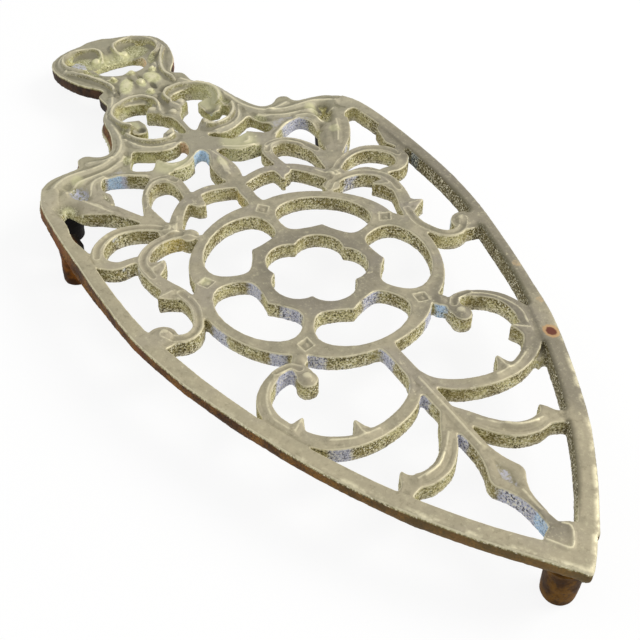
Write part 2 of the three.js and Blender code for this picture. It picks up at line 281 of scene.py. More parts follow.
grain = 0.36  # size of a grain of the recast surface, in mm
casting = bpy.data.objects.new("openwork_casting", frame["nodes"]["plate"].data.copy())
bpy.context.scene.collection.objects.link(casting)
plain = casting.data


def upright_block(name, outline, low, high):
    """A closed block between two heights over an outline in the pattern's own drawing."""
    block = bpy.data.meshes.new(name)
    count = len(outline)
    turns = sum(x0 * y1 - x1 * y0 for (x0, y0), (x1, y1) in zip(outline, outline[1:] + outline[:1]))
    outline = outline if turns > 0 else outline[::-1]
    corners = as_cast(np.array([(x, y, z) for z in (low, high) for x, y in outline], float))
    sides = [(k, (k + 1) % count, count + (k + 1) % count, count + k) for k in range(count)]
    block.from_pydata([tuple(corner) for corner in corners], [],
                      [tuple(range(count))[::-1], tuple(range(count, 2 * count)), *sides])
    return block


def settled(thing):
    """The mesh of an object with its modifiers applied."""
    return bpy.data.meshes.new_from_object(thing.evaluated_get(bpy.context.evaluated_depsgraph_get()))


# The two sides were not cut quite alike: these openings are wider than drawn, and these corners
# of the outline trimmed.
heel_corner = [(-67, 48), (-65.6, 48.2), (-63.8, 49), (-61.9, 49.8), (-60, 50.4), (-60, 53), (-67, 53)]
cut_away = {
    "lower edge of near leaf": [
        (-51.4, -42), (-49.7, -41.4), (-49, -40.3), (-48, -38.6), (-46, -36.1), (-43.7, -33.8),
        (-41.4, -31.9), (-39, -30.6), (-38.7, -31.6), (-40.3, -34.6), (-42.6, -37.1), (-46, -40.3),
        (-49.5, -42.3)],
    "left edge of near scroll": [
        (-55.9, -20.2), (-55.4, -21.8), (-54.4, -23.5), (-52.9, -25.1), (-49.7, -27.4), (-44.9, -29.2),
        (-41.1, -29), (-42.9, -27.9), (-45.6, -27.1), (-48.9, -25.9), (-51.8, -24.2), (-53.9, -22.4),
        (-55.4, -20.3)],
    "far notch": [(-55.4, 43.6), (-57, 44.4), (-57.9, 46), (-57.6, 47.7), (-54, 47.7), (-53.4, 45)],
    "arch behind middle leaf": [
        (-59.4, -5.1), (-61.3, -3.2), (-61.8, -1.4), (-60.5, -0.7), (-57.5, -0.9), (-54, -2.4), (-52.3, -4.9),
        (-54.3, -5.6), (-55.4, -6.6)],
    "inner edge of near rim": [
        (-50.3, -46.3), (-48.4, -47.7), (-44.1, -48.9), (-41.2, -49.1), (-38.8, -48.9), (-36.5, -48.2),
        (-36.5, -47), (-40.6, -46), (-45.4, -46.4), (-48.4, -46)],
    "near side of tip": [
        (98.4, 5.8), (101.7, 2.7), (104.4, -0.3), (105.4, -2), (108, -2), (108, 6), (98.4, 8)],
    "far heel corner": heel_corner,
    "near heel corner": [(x, -y) for x, y in heel_corner],
}
above_all = rim_top + 2
for name, outline in cut_away.items():
    cutter = bpy.data.objects.new(name, upright_block(name, outline, 0, above_all))
    bpy.context.scene.collection.objects.link(cutter)
    cut = casting.modifiers.new("cut", "BOOLEAN")
    cut.operation = "DIFFERENCE"
    cut.solver = "EXACT"
    cut.object = cutter
    plain = settled(casting)
    casting.modifiers.clear()
    casting.data = plain
    bpy.data.objects.remove(cutter)


def fill(name, outline, low, high):
    """Adds an upright block to the casting, to be cast into one with it."""
    build = bmesh.new()
    build.from_mesh(plain)
    build.from_mesh(upright_block(name, outline, low, high))
    build.to_mesh(plain)
    build.free()


def round_outline(x, y, radius, corners=20):
    turns = np.arange(corners) * 2 * math.pi / corners
    return [(x + radius * math.cos(turn), y + radius * math.sin(turn)) for turn in turns]


# The tip leg's tenon is brazed into its hole. The hooks of the neck's rings end in a lower lobe, and
# other places are filled with metal: [how far the filling lies below the scrolls' top, its outline].
fill("tenon hole", round_outline(tip_leg_x, 0, 2.8), underside + 0.2, rim_top)
hook_lobe = [
    (-88.6, 13.6), (-86.8, 9.7), (-84, 9.2), (-80.8, 9.6), (-79.2, 10.6), (-79, 13.2), (-81, 15.6),
    (-84.5, 17)]
fillings = {
    "lobe of far hook": (0.8, hook_lobe),
    "lobe of near hook": (0.8, [(x, -y) for x, y in hook_lobe]),
    "far rim and scroll": (0, [(-46, 47.4), (-38, 46.4), (-33.6, 47.6), (-31, 49), (-46, 49.4)]),
    "near rim and scroll": (0, [
        (-39, -48.8), (-36.4, -48), (-34.4, -47.4), (-31.4, -48.2), (-31, -49.4), (-39, -49.8)]),
    "side of far leaf": (0, [
        (-57, 35.6), (-55.1, 33.9), (-52.6, 32.3), (-49.7, 31.1), (-47.1, 30.6), (-41, 28.6), (-45, 32),
        (-54.6, 36.2)]),
    "band across far heel": (0, [
        (-67.4, 3.3), (-64.3, 6.7), (-62.1, 9.3), (-63.1, 13.7), (-63.2, 15.3), (-60.5, 18.6), (-60.3, 21.1),
        (-56.7, 19.7), (-55.5, 15.9), (-59.5, 8), (-63.6, 3.9)]),
    "corner before near scroll": (0, [
        (-31.4, -47.9), (-28, -48.3), (-26.8, -47.5), (-27.4, -46.9), (-28.3, -46.9), (-30.1, -47.2)]),
    "web beside far rim": (1.6, [(49.5, 32.9), (53, 31), (54, 28.2), (51.6, 28.7)]),
    "tip of near leaf": (0.4, [
        (-57.5, -35.7), (-57.1, -31.7), (-55.6, -31.7), (-53.1, -32.3), (-50.9, -32.9), (-53.1, -34.6)]),
    "knob under near leaf": (0.5, round_outline(-52, -41, 1.2)),
}
for name, (below, outline) in fillings.items():
    fill(name, outline, underside, scroll_top - below)

recast = casting.modifiers.new("recast", "REMESH")
recast.mode = "VOXEL"
recast.voxel_size = grain * mm
shape = settled(casting)
casting.modifiers.clear()
casting.data = shape


def read_places(mesh):
    places = np.empty(len(mesh.vertices) * 3)
    mesh.vertices.foreach_get("co", places)
    return places.reshape(-1, 3)


def read_normals(mesh):
    normals = np.empty(len(mesh.vertices) * 3)
    mesh.vertex_normals.foreach_get("vector", normals)
    return normals.reshape(-1, 3)


def write_places(mesh, places):
    mesh.vertices.foreach_set("co", places.ravel())
    mesh.update()


def relaxed(mesh, places, rounds, inward=0.5, outward=-0.52):
    """Smooths away the steps of the grain, and swells the shape back as much as it shrank."""
    edges = np.empty(len(mesh.edges) * 2, int)
    mesh.edges.foreach_get("vertices", edges)
    edges = edges.reshape(-1, 2)
    ends = np.concatenate([edges[:, 0], edges[:, 1]])
    others = np.concatenate([edges[:, 1], edges[:, 0]])
    count = np.bincount(ends, minlength=len(places))[:, None]
    for amount in (inward, outward) * rounds:
        pulled = np.stack([np.bincount(ends, places[others, k], len(places)) for k in range(3)], 1) / count
        places = places + amount * (pulled - places)
    return places


flat = as_drawn(relaxed(shape, read_places(shape), rounds=4))
faces = np.empty(len(shape.loops), int)
shape.loops.foreach_get("vertex_index", faces)
faces = faces.reshape(-1, 4)
most_rounds = 3000
feeling_height = scroll_top - 1  # where the walls are felt for, below their rounded edges
outline_reach = 6.0
wall_reach = 3


def upright_walls():
    """The walls of the casting just under its top, and the one of them that is its outline.

    The points of each wall take on the lowest number among their neighbours until they all have it,
    and the outline is the longest of the walls that have a number in common.
    """
    corners = flat[faces]
    across = np.cross(corners[:, 2] - corners[:, 0], corners[:, 3] - corners[:, 1])
    upright = np.abs(across[:, 2]) < 0.5 * np.linalg.norm(across, axis=1)
    height = corners[:, :, 2].mean(1)
    walls = faces[upright & (height < scroll_top - 0.5) & (height > scroll_top - 1.7)]
    wall_of = np.arange(len(flat))
    for _ in range(most_rounds):
        lowest = wall_of[walls].min(1)
        before = wall_of.copy()
        for k in range(4):
            np.minimum.at(wall_of, walls[:, k], lowest)
        wall_of = wall_of[wall_of]
        if (before == wall_of).all():
            break
    names = wall_of[walls[:, 0]]
    lengths = {name: np.ptp(flat[walls[names == name].ravel(), 0]) for name in np.unique(names)}
    return walls, walls[names == max(lengths, key=lengths.get)]


def grown_tree(walls):
    return BVHTree.FromPolygons([Vector(corner) for corner in flat], walls.tolist())


def outline_side(flat):
    """How far inside the outline each spot lies, up to outline_reach, and the way outwards there."""
    inside = np.full(len(flat), outline_reach)
    outwards = np.zeros((len(flat), 2))
    for i, (x, y, _) in enumerate(flat):
        _, way, _, gap = outline_tree.find_nearest(Vector((x, y, feeling_height)), outline_reach)
        if way:
            inside[i] = gap
            outwards[i] = way[:2]
    return inside, outwards


# Some scrolls sit a little off the drawing: [x, y, reach, how far along x, how far along y], in mm.
shifted = [
    (-31, 35.2, 5, -1.4, 0.9),
    (-19.8, 32.8, 3, -2.4, 0.3),
    (-35.1, -12.5, 2.2, -2, 0.1),
    (-36, 12.8, 2.6, -2.2, -0.6),
]
# How far outwards the top of the rim stands from the drawing, as [x, mm]. The far rim is also thinner.
near_rim = [
    (-58, 0), (-50, -0.6), (-31, -1.2), (-14, -0.9), (2, 0), (20, 0.2), (33, -0.6), (43, -1), (55, -0.5),
    (66, -0.2), (92, 0)]
far_rim = [
    (-68, 0), (-62, 1), (-14, 1.1), (10, 0.5), (33, 0.2), (43, 0.5), (66, 0.6), (76, 0.9), (90, 0.4), (98, 0)]
far_rim_thinned = 0.8
far_rim_width = 4.3
outline_tree = grown_tree(upright_walls()[1])
for rim, way in (near_rim, -1), (far_rim, 1):
    side = np.flatnonzero((flat[:, 1] * way > 2) & (flat[:, 0] > -68))
    inside, outwards = outline_side(flat[side])
    out = np.interp(flat[side, 0], *zip(*rim)) * np.clip(1 - inside / outline_reach, 0, 1) ** 0.6
    if way > 0:
        inner_edge = bell((inside - far_rim_width) / 1.1)
        out += (far_rim_thinned * inner_edge * soft_step(flat[side, 0], -60, -52)
                * soft_step(flat[side, 0], 45, 25))
    flat[side, :2] += outwards * out[:, None]
for x, y, reach, along_x, along_y in shifted:
    flat[:, :2] += bell(np.hypot(flat[:, 0] - x, flat[:, 1] - y) / reach)[:, None] * [along_x, along_y]
write_places(shape, as_cast(flat))
walls, outline = upright_walls()
wall_tree = grown_tree(walls)
outline_tree = grown_tree(outline)

# The carving on one side, in mm from the middle of the rosette: raised cords round the heel, the
# neck and the handle, as [points, height, half width], then the keels of the leaves.
side_cords = [
    ([(-63.6, 45), (-65.6, 43.6), (-67.2, 41), (-67.8, 38), (-67.8, 32), (-68.6, 28), (-70.2, 24.6),
      (-73, 21.6), (-78, 19.4), (-86, 18.5), (-92.5, 17.8), (-98.5, 13.8), (-103.5, 11.6)], 0.6, 1),
    ([(-71, 32), (-70.2, 28.6), (-69.6, 25.4)], 0.4, 0.8),
    ([(-61, 42.6), (-63.4, 39.6), (-64.2, 36), (-64.7, 32), (-65.4, 28), (-67.6, 24), (-70, 21.8)], 0.5, 0.8),
    ([(-57.6, 37.2), (-61.4, 35), (-62.6, 33.4), (-63, 31)], 0.4, 0.8),
    ([(-61.6, 29), (-61, 26), (-59, 23), (-57.4, 20.6)], 0.3, 0.6),
    ([(-76.6, 18.4), (-71.4, 15.8), (-68.8, 11.8), (-68.2, 6.6)], 0.5, 0.7),
    ([(-55.8, 12.6), (-57, 8.6), (-59.6, 4.6)], 0.4, 0.7),
    ([(-60.2, 13.4), (-58.6, 12.4), (-58.4, 11)], 0.4, 0.7),
    ([(-53, 15), (-53.8, 18.6), (-52.4, 21.6), (-49, 24.6)], 0.4, 0.7),
    ([(-143.4, 11), (-141, 15.2), (-136, 17.2), (-130.6, 17.2)], 0.3, 0.8),
    ([(-130, 17), (-124, 13.8), (-118, 11.2), (-113, 9.5), (-109.4, 9), (-105.6, 10)], 0.6, 0.9),
    ([(-120, 9.8), (-116.8, 9.2), (-114.8, 7.2)], 0.5, 0.8),
    ([(-86, 3), (-89.6, 2), (-94, 1.9), (-97.6, 4.2), (-98.4, 8.6), (-96.2, 13.4), (-92, 16.3), (-88, 16.8),
      (-84.2, 15.8), (-81.6, 14.2)], 0.9, 1),
    ([(-78.6, 17.2), (-74.4, 15.7), (-71.2, 12.4), (-70.2, 8.4), (-71.2, 5.4), (-73.2, 5)], 0.8, 0.9),
    ([(-133, 3.4), (-136, 2.4), (-139.8, 3.6), (-142, 7), (-142.6, 11), (-140.6, 14.2), (-135.6, 16),
      (-131, 15.6), (-127.8, 13.8), (-126.4, 11.2)], 0.9, 1),
    ([(66, 8.2), (68, 11), (68.9, 15)], 0.4, 0.6),
]
raised_cords = [(np.array(line) * [1, way], tall, wide) for line, tall, wide in side_cords for way in (1, -1)]
leaf_keels = both_sides([
    [(61.6, 3.8), (66.2, 8.4), (68.6, 12.6), (68.6, 16.6)],
    [(28.2, 23.6), (28.4, 28.2), (32.4, 32.4), (38.4, 34.4), (43.4, 33)],
    [(50.6, 27), (52.8, 22), (53.2, 16)],
    [(-45.4, 34.8), (-51, 38.2), (-55.4, 40.2)],
    [(-9.9, 35.4), (-9.5, 37.6), (-9.2, 39)],
    [(-20.2, 35.6), (-20.8, 33.4), (-21.2, 32.2)],
    [(44.8, 32.4), (43.4, 30.6), (42.4, 29.2)],
    [(52.4, 19.6), (50.4, 19.5), (48.8, 19.5)],
    [(-31.6, 23.6), (-36, 21.4)],
])
axis_keels = [np.array(line, float) for line in (
    [(45, 0), (56, 0), (68, 0)],
    [(82, 0), (88, 0)],
    [(-45.6, -0.6), (-49.5, 0), (-54.6, 0.8), (-58.6, 0.4)],
)]
banded_scrolls = both_sides([
    [(-8.4, 33.6), (-2.8, 32.8), (1.4, 33.9), (4.8, 35.8), (6.3, 38.6), (5.6, 41.7), (3.4, 43.7)],
    [(-26.9, 20.2), (-28.8, 23), (-29.7, 27.4), (-28.8, 31.9), (-26, 35.6), (-22.4, 37.2), (-17.4, 37)],
    [(-32.8, 26), (-35.8, 29.4), (-37.8, 33.6), (-38.4, 37.8), (-37.2, 41.4), (-34.7, 44.5), (-31.4, 46.1)],
    [(-44.8, 27), (-50.4, 24.6), (-53.8, 21), (-54, 16.8), (-51.5, 14.6)],
    [(28.8, 21.8), (27.2, 23.6), (27.4, 27)],
])
# Pads stand up and cups go down: [x, y, half length, half width, turn in degrees, height]. The side
# ones are cast on both sides, the lone ones once.
side_pads = [
    (-134.4, 5, 2, 1.8, 0, 0.7), (-88.3, 4.8, 2.1, 1.9, 0, 0.6), (-72.9, 6, 2, 2.1, 0, 0.5),
    (-115, 6.8, 1.8, 1.6, 0, 0.5), (31.8, 21.6, 2.2, 1.9, 0, 0.5), (2.6, 43.2, 1.7, 1.3, 0, 0.5),
    (-31.6, 24.8, 2.2, 2.2, 0, 0.35), (-51, 37.4, 2.8, 0.9, -30, 0.4), (-76.4, 11.2, 2.2, 3.4, 10, 0.5),
]
lone_pads = [
    (-108.6, -4.8, 6.2, 2.3, -24, 1), (-110, 4.7, 4.6, 2.9, -5, 1), (-116.6, 0, 1.9, 1.7, 0, 0.7),
    (-108.2, 0, 3.2, 1.5, 0, 0.7), (-100.6, 0, 2, 1.7, 0, 0.7), (-83.4, 0, 2.1, 1.8, 0, 0.5),
    (-50.6, -0.4, 7, 3, 4, 0.8),
]
side_cups = [
    (-135.6, 9.6, 6.4, 5.4, 0, -1.5), (-60.2, 39.4, 4.4, 2.3, -20, -2), (-68.4, 21.6, 3.3, 1.6, 28, -1.2),
    (-112.8, 1.6, 2, 0.8, 0, -0.8), (-124.5, 10.6, 4.6, 1.7, -28, -0.6), (-81.6, 17, 2.4, 1.1, 8, -0.6),
    (-54.4, 33.8, 1.8, 0.9, 0, -0.4), (-93.4, 3.8, 2.6, 1.1, 20, -0.8),
]
slot_cup = (-131.6, 0, 4.4, 8.6, 0, -2.2)
lone_cups = [slot_cup, (-54.2, -45, 4.4, 3.4, 10, -2.6)]
# Dark pits beside the leaves, and the bevelled sides of leaves as [line, width, depth].
pits = [
    (-101.6, 6, 2.4, 3, 20, -1.5), (-101.2, -4.6, 2, 1.6, 0, -1.3), (-105.2, 3, 2.2, 1, 0, -0.9),
    (-46, -4.6, 1.8, 1.3, -30, -1.1), (-81.2, -11.4, 1.6, 1.4, 0, -1.2), (-80.6, 11, 1.4, 1.6, 0, -1.2),
    (-63, 39.8, 3.4, 2.6, -30, -1.6), (-49.8, -6.6, 2.4, 0.9, 30, -0.8), (-106, -9.2, 2.4, 1, -20, -0.7),
]
bevels = [
    ([(-57, 35.6), (-55.1, 33.9), (-52.6, 32.3), (-49.7, 31.1), (-47.1, 30.6)], 2.4, 2.4),
    ([(-57.4, -31.6), (-55.6, -31.7), (-53.1, -32.3), (-50.9, -32.9)], 2.2, 1.4),
]
rib_spacing = 1.7  # of the fine ribs in the cup at the handle's slot
rib_height = 0.14
lozenge_circle = 28
lozenge_reach = 2.1
lozenge_stretch = 1.15


def mirrored_spots(spots):
    """The spots as they are, and mirrored to the other side."""
    return [(x, y * way, length, width, turn * way, height)
            for x, y, length, width, turn, height in spots for way in (1, -1)]


pads = mirrored_spots(side_pads) + lone_pads
cups = mirrored_spots(side_cups) + lone_cups
lozenges = [(lozenge_circle * math.cos(turn), lozenge_circle * math.sin(turn), turn)
            for turn in (math.radians(36 + 72 * k) for k in range(5))]
bud_middle = 76.8
bud_length = 6.2
bud_width = 2.5
# The peened end of the tip leg's tenon is worn to a rounded square with a raised edge.
pad_edge = curve([(92.6, 1.4), (94, 2.5), (96, 1.5), (97.6, 0.1), (98.1, -1.1), (96, -2.6), (94, -3.9)])


def mound(flat, x, y, length, width, turn):
    """1 in the middle of an oval and falling softly to 0 round its edge."""
    cosine = math.cos(math.radians(turn))
    sine = math.sin(math.radians(turn))
    along = ((flat[:, 0] - x) * cosine + (flat[:, 1] - y) * sine) / length
    across = ((flat[:, 1] - y) * cosine - (flat[:, 0] - x) * sine) / width
    return np.exp(-(along ** 2 + across ** 2) ** 1.5)


rim_ends = both_sides([[(-65.3, 49.1), (-63.3, 44), (-58.1, 46), (-53.8, 47.4)]])
edge_wear = 0.3
middle_wear = 0.12
heel_sunk = 0.2
shoulder_fall = 0.8
keel_height = 0.65
keel_reach = 1.4
band_apart = 1  # from a banded scroll's middle to each of its two raised bands


def corner_rise(flat):
    """The web of the heel rises softly to the rim's top where the two meet."""
    off = np.min([distance_to(curve(line), flat, 4) for line in rim_ends], 0)
    return np.clip(rim_top - flat[:, 2], 0, rim_above_scrolls) * np.clip(1 - off / 3, 0, 1)


def carved(flat, to_wall, inside):
    """What the carving does to each spot of the top.

    It gives the height over the flat top and the distance to the nearest crest, both in mm, and how
    deep in a hollow and how dark the spot is, both from 0 to 1.
    """
    x, y, z = flat.T

    # Edges are worn round, scrolls a little hollow, and the web behind the heel lies lower.
    under_rim = z < rim_top - 0.22
    behind_heel = soft_step(x, -56, -61) * under_rim
    height = -edge_wear * np.clip(1 - to_wall / 0.5, 0, 1) ** 2
    height -= middle_wear * soft_step(to_wall, 0.7, 1.4) * under_rim
    height -= heel_sunk * behind_heel
    height += corner_rise(flat)

    # The inner side of the far rim slopes away, and the bar at the tip rises to the rim's top.
    far_shoulder = soft_step(x, -20, 0) * soft_step(x, 48, 30) * (y > 4) * (inside < 4.6) * (inside > 1.2)
    height -= shoulder_fall * far_shoulder * np.clip(1 - to_wall / 1.3, 0, 1) ** 1.5
    bar_rise = soft_step(x, 84, 93) * (z < rim_top - 0.1) * (np.abs(y) < 6)
    height += bar_rise * np.clip(rim_top - z, 0, rim_above_scrolls)

    # Raised lines: cords with a groove to each side, sharp keels, bands, and the tenon's edge.
    from_crest = np.full(len(flat), 3.0)
    for line, tall, wide in raised_cords:
        off = distance_to(curve(line), flat, 4)
        groove = 0.15 * tall * bell((off - 2.2 * wide) / 0.7)
        height += (tall + 0.15) * bell(off / wide) - groove
        from_crest = np.minimum(from_crest, off)
    for line in leaf_keels + axis_keels:
        off = distance_to(curve(line), flat, 3)
        height += keel_height * np.clip(1 - off / keel_reach, 0, 1)
        from_crest = np.minimum(from_crest, off + 0.1)
    for line in banded_scrolls:
        off = distance_to(curve(line), flat, 3)
        height += 0.24 * bell((off - band_apart) / 0.36) - 0.14 * bell(off / 0.5)
        from_crest = np.minimum(from_crest, np.abs(off - band_apart) + 0.2)
    off = distance_to(pad_edge, flat, 4)
    height += 0.35 * bell(off / 0.45)
    from_crest = np.minimum(from_crest, off + 0.1)

    # The hollow of the bud, then pads, cups, pits and bevels.
    off = np.abs(x - bud_middle) / bud_length + np.abs(y) / bud_width - 1
    height += 0.12 * bell(off / 0.25) - 0.28 * soft_step(off, 0, -0.7)
    for *spot, tall in pads:
        bump = mound(flat, *spot)
        height += tall * bump
        from_crest = np.minimum(from_crest, 1.4 - 1.2 * bump)
    # The far shoulder counts as sunk too, so the finish darkens it there as painted shade.
    sunk = (0.45 * behind_heel * soft_step(from_crest, 0.5, 1.6)
            + 0.8 * far_shoulder * soft_step(to_wall, 1.9, 0.2))
    sunk = np.maximum(sunk, 0.55 * soft_step(off, 0, -0.5))
    for *spot, tall in cups:
        cup = mound(flat, *spot)
        height += tall * cup
        sunk = np.maximum(sunk, cup)
    dark = np.zeros(len(flat))
    for *spot, tall in pits:
        pit = mound(flat, *spot)
        height += tall * pit
        dark = np.maximum(dark, pit)
    for line, wide, steep in bevels:
        height -= steep * np.clip(1 - distance_to(curve(line), flat, 4) / wide, 0, 1) ** 1.3

    # Fine ribs at the slot, and the rosette's lozenges, each a sunk field in a raised frame.
    slot_ribs = mound(flat, *slot_cup[:5]) * np.sin(y * 2 * math.pi / rib_spacing)
    height += rib_height * slot_ribs
    for middle_x, middle_y, turn in lozenges:
        ahead = np.abs((x - middle_x) * math.cos(turn) + (y - middle_y) * math.sin(turn)) / lozenge_stretch
        across = np.abs((y - middle_y) * math.cos(turn) - (x - middle_x) * math.sin(turn))
        off = ahead + across - lozenge_reach
        height += np.where(off < 1.2, 0.22 * bell(off / 0.4) - 0.42 * soft_step(off, 0.1, -1.2), 0)
        from_crest = np.minimum(from_crest, np.abs(off) + 0.1)
    return height, from_crest, sunk, dark


def wall_distances(flat):
    """How far each spot lies from the nearest wall, up to wall_reach."""
    return np.array([wall_tree.find_nearest(Vector((x, y, feeling_height)), wall_reach)[3] or wall_reach
                     for x, y, _ in flat])


flat = as_drawn(read_places(shape))
facing = read_normals(shape)
carving_floor = scroll_top - 3.8
top = np.flatnonzero(flat[:, 2] > carving_floor)
inside, outwards = outline_side(flat)
height = carved(flat[top], wall_distances(flat[top]), inside[top])[0]
flat[top, 2] += height * np.clip((flat[top, 2] - carving_floor) / (scroll_top - 0.3 - carving_floor), 0, 1)

# The outer wall is rounded under towards the tip and flares at heel and neck. For each x along the
# casting: how deep the wall goes straight down, and how far its foot is then drawn in, in mm. A
# foot that is flared out has a number below 0.
along = [-150, -104, -98, -86, -74, -63, -56, -50, -31, -14, 2, 20, 33, 43, 66, 76, 100]
straight_depth = [3.4, 3.4, 2.2, 1.8, 1.8, 2, 3.4, 3.6, 3.8, 3.6, 3.2, 2.9, 2.6, 2.6, 2.4, 2.4, 2.3]
drawn_in = [0.2, 0.2, -0.9, -1.3, -1.5, -1.2, -0.2, -0.4, -0.8, 0, 1, 1.5, 0.6, 1, 1.5, 0.8, 1.6]
deep = rim_top - flat[:, 2] - np.interp(flat[:, 0], along, straight_depth)
room = rim_top - underside - np.interp(flat[:, 0], along, straight_depth)
inset = np.interp(flat[:, 0], along, drawn_in) * np.clip(deep / room, 0, 1) ** 2
flat[:, :2] -= outwards * (inset * np.clip(1 - inside / 4, 0, 1))[:, None]

# The walls are rough from the sand, and the top has faint dents.
rough = np.empty(len(flat))
for i, spot in enumerate(flat):
    rough[i] = noise.noise(Vector(spot) / 1.1) + 0.6 * noise.noise(Vector(spot) / 0.5)
sideways = 1 - soft_step(np.abs(facing[:, 2]), 0.4, 0.9)
below_edge = soft_step(scroll_top - 0.7 - flat[:, 2], 0, 0.8)
flat += facing * (rough * (0.025 + 0.08 * sideways * below_edge))[:, None]

write_places(shape, as_cast(flat))
# How proud each spot stands of the smoothed surface, to rub the colour on crests and darken hollows.
softened = relaxed(shape, flat, rounds=5, inward=0.5, outward=0.5)
proud = ((flat - softened) * read_normals(shape)).sum(1)
fine_tree = KDTree(len(flat))
for k, spot in enumerate(flat):
    fine_tree.insert(spot, k)
fine_tree.balance()
most_triangles = 190000
thin = casting.modifiers.new("thin", "DECIMATE")
thin.ratio = min(1, most_triangles / (2 * len(shape.polygons)))
shape = settled(casting)
casting.modifiers.clear()
casting.data = shape
shape.name = "openwork_casting"
shape.shade_smooth()

# Stains as [x, y, half length, half width], in mm from the middle of the rosette.
stains = {
    "lilac": [
        (35.2, -2.3, 2.6, 2.2), (26.2, -15.6, 2.6, 3.2), (48.7, -2.6, 3.2, 2.6), (64.2, -2.6, 2.6, 2.2),
        (84.2, -1.6, 9, 3), (53.7, -26.3, 2.4, 3), (28.2, -26.1, 2.6, 4.4), (9.7, -12.6, 3.6, 3),
        (-2.3, -15.6, 4, 2.6), (7.7, -32.6, 3, 3), (21, -22.3, 2.4, 3.2), (-22.3, -40.6, 2.2, 2.2),
        (-34.3, -38.6, 2.2, 2), (-38.8, -9.1, 2.6, 2.6), (-60.3, -28.1, 4.2, 3.4), (-59.9, -39.9, 3, 3),
        (-61.8, 28.6, 4, 6), (29, 16, 3, 3.6), (15.5, 6, 2.4, 3), (-135, -11.5, 3, 2.6), (22.2, 17, 1.6, 1.8),
        (22.2, -17, 1.6, 1.8), (-26, 28, 3, 3), (77.4, 0, 1.8, 0.7), (-43.5, 34.6, 3, 1.8),
    ],
    "turquoise": [
        (0, 41, 2.2, 2.2), (-28, 49, 2.4, 1.6), (-60.2, -2.4, 3.4, 2.4), (28, 18, 1.8, 1.8),
        (-61, -28.6, 2.6, 2), (90, -1.6, 2.6, 2.4), (86.5, 3.4, 2, 2),
    ],
    "ochre": [(-37.4, -3.4, 3, 2.6), (-29.4, -23.8, 3, 6), (-22.6, -5, 3, 3), (-9.5, -26.5, 1.6, 1.6)],
    "pale": [
        (-133.6, 0, 3.4, 9), (-51.3, 37.2, 2.4, 1.6), (-55.4, -44.6, 2, 1.8), (-84.6, 12.6, 3, 2.2),
        (-84.6, -12.4, 2.6, 1.8), (-52, 0.4, 3, 1.4), (-88, 13, 8, 5), (-65, 37.4, 2.6, 2), (-92, -9, 4, 5),
        (-9.5, -26.5, 1.6, 1.6), (-65.2, -37.8, 2.4, 2), (-60, 10, 6, 6), (-60, -12, 6, 6),
    ],
    "copper": [(-123.5, 7.6, 5.4, 1.5), (-67.5, -3.2, 3.6, 1.8), (-119, 17.5, 7, 3)],
    "dull": [
        (0, 0, 18, 18), (-20, 50, 30, 5), (25, 46, 26, 6), (91, 0, 5, 4), (60, 30, 18, 8), (35, 25, 16, 14),
    ],
    "rust": [(48.6, 35.7, 1.9, 1.6)],
    "peach": [(25, 44.2, 1.3, 1), (38.6, 40.6, 1.2, 0.9)],
}
neck_leaves_behind = -98


def finish_values(mesh):
    """Stores on the mesh what the finish needs to know about each of its points."""
    flat = as_drawn(read_places(mesh))
    to_wall = wall_distances(flat)
    inside, _ = outline_side(flat)
    _, from_crest, sunk, dark = carved(flat, to_wall, inside)
    level = read_normals(mesh)[:, 2] > 0.8
    tops = np.flatnonzero(level & (flat[:, 2] > scroll_top - 1.2))
    tree = KDTree(len(tops))
    for k in tops:
        tree.insert((*flat[k, :2], 0), k)
    tree.balance()
    deep = np.array([flat[tree.find((x, y, 0))[1], 2] - z for x, y, z in flat])
    values = {
        "below_top": deep,
        "from_wall": to_wall,
        "from_outline": inside,
        "from_crest": from_crest,
        "sunk": sunk,
        "dark": dark,
        "leafy": np.max([mound(flat, *spot[:5]) for spot in pads if spot[0] < neck_leaves_behind], 0),
        "proud": proud[[fine_tree.find(spot)[1] for spot in flat]],
    }
    for name, spots in stains.items():
        values[name] = np.max([mound(flat, *spot, 0) for spot in spots], 0)
    for name, value in values.items():
        mesh.attributes.new(name, "FLOAT", "POINT").data.foreach_set("value", value.astype(np.float32))


finish_values(shape)

brass, brass_shader = new_material("aged_brass")
mix = Mix(brass)
place = mix.node("ShaderNodeTexCoord", {}, {}, "Object")
place_x = mix.node("ShaderNodeSeparateXYZ", {}, {"Vector": place}, "X")
place_y = mix.node("ShaderNodeSeparateXYZ", {}, {"Vector": place}, "Y")
normal = mix.node("ShaderNodeNewGeometry", {}, {}, "Normal")
tilt = mix.node("ShaderNodeSeparateXYZ", {}, {"Vector": normal}, "Z")


def speckle(base, spot, size, detail, rough, seed):
    """A mottled value round 0.5 whose spots are about size mm wide."""
    return base.node("ShaderNodeTexNoise", {"noise_dimensions": "4D"}, {
        "Vector": spot, "W": seed, "Scale": 1 / (size * mm), "Detail": detail, "Roughness": rough}, "Fac")


def stored(name):
    """One of the finish's values, as stored on the mesh."""
    return mix.node("ShaderNodeAttribute", {"attribute_name": name}, {}, "Fac")


